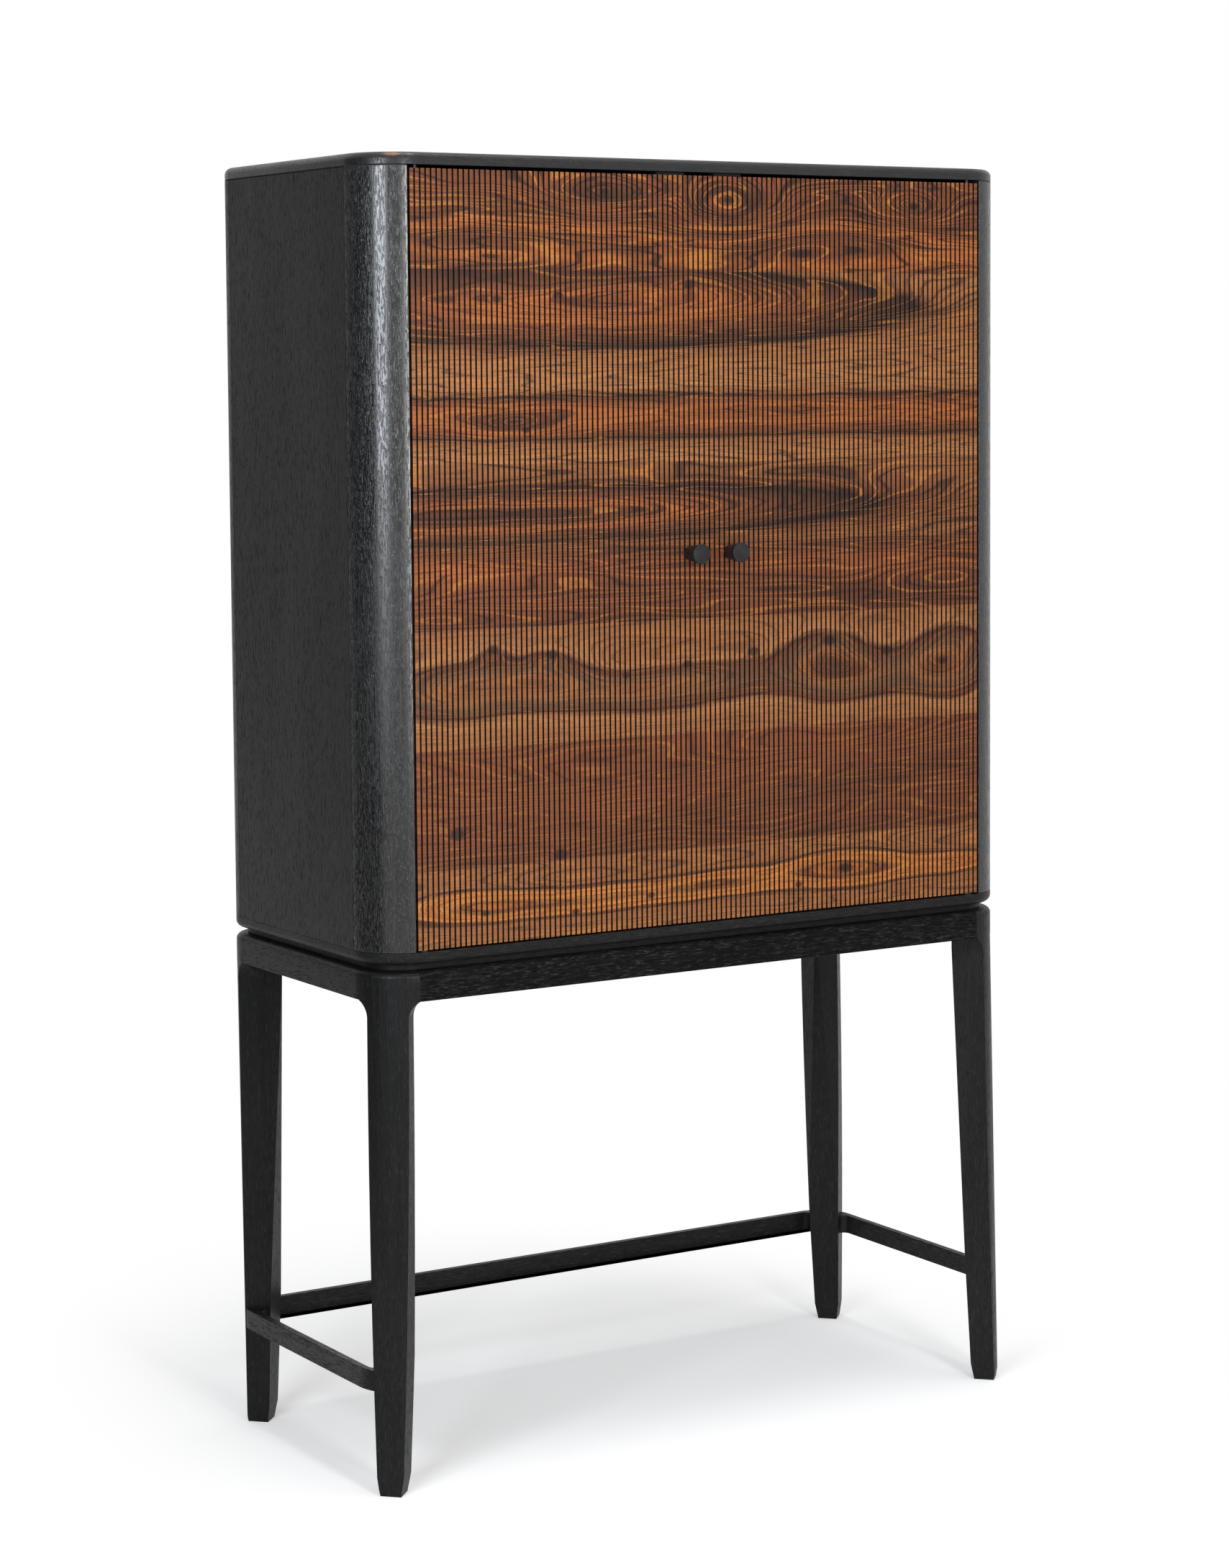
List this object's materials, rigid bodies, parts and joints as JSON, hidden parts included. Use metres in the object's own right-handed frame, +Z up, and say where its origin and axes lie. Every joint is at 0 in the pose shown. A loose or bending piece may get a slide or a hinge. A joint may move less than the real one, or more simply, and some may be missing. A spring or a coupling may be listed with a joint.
{
  "type": "highboard",
  "caption": "Tall two-door highboard with grooved wood doors, rounded black corner posts and a four-legged stand with stretchers.",
  "frame": {"origin": "middle of the bounding box on the floor, knobs included", "axes": "+X to the right seen from the front, the front faces -Y, +Z up"},
  "size_m": [0.94, 0.4514, 1.6],
  "materials": {
    "black_wood": "black stained, open grain, satin",
    "door_wood": "oiled, edge-glued boards with strong figure",
    "inner_wood": "oiled, satin",
    "back_board": "stained",
    "plain_wood": "raw",
    "black_lacquer": "matt black",
    "steel": "plated",
    "brass": "satin",
    "black_plastic": "matt"
  },
  "bodies": {
    "carcass_and_stand": {"top_panel": "black_wood", "bottom_panel": "black_wood", "left_side_panel": "black_wood", "right_side_panel": "black_wood", "left_corner_post": "black_wood", "right_corner_post": "black_wood", "left_back_post": "black_wood", "right_back_post": "black_wood", "back_panel": "back_board", "lower_shelf": "inner_wood", "middle_shelf": "inner_wood", "upper_shelf": "inner_wood", "shelf_supports": "steel", "carcass_dowels": "plain_wood", "left_pivot_pins": "steel", "right_pivot_pins": "steel", "left_pivot_washer": "brass", "right_pivot_washer": "brass", "catch_cases": "black_plastic", "catch_magnets": "steel", "catch_screws": "steel", "spacer_frame": "black_wood", "front_left_leg": "black_wood", "front_right_leg": "black_wood", "back_left_leg": "black_wood", "back_right_leg": "black_wood", "front_apron": "black_wood", "back_apron": "black_wood", "left_apron": "black_wood", "right_apron": "black_wood", "apron_dowels": "plain_wood", "left_stretcher": "black_wood", "right_stretcher": "black_wood", "back_stretcher": "black_wood", "front_cleat": "plain_wood", "back_cleat": "plain_wood", "cleat_screws": "steel", "stand_bolts": "steel"},
    "left_door": {"left_door_panel": "door_wood", "left_knob": "black_lacquer", "left_knob_screw": "steel", "left_pivot_bushes": "brass", "left_strike_plate": "steel"},
    "right_door": {"right_door_panel": "door_wood", "right_knob": "black_lacquer", "right_knob_screw": "steel", "right_pivot_bushes": "brass", "right_strike_plate": "steel"}
  },
  "joints": [
    {"name": "left_door_hinge", "type": "hinge", "parent": "carcass_and_stand", "child": "left_door", "pos_m": [-0.405, -0.18974, 0.656], "axis": [0, 0, -1], "range_deg": [0, 110]},
    {"name": "right_door_hinge", "type": "hinge", "parent": "carcass_and_stand", "child": "right_door", "pos_m": [0.405, -0.18974, 0.656], "axis": [0, 0, 1], "range_deg": [0, 110]}
  ]
}
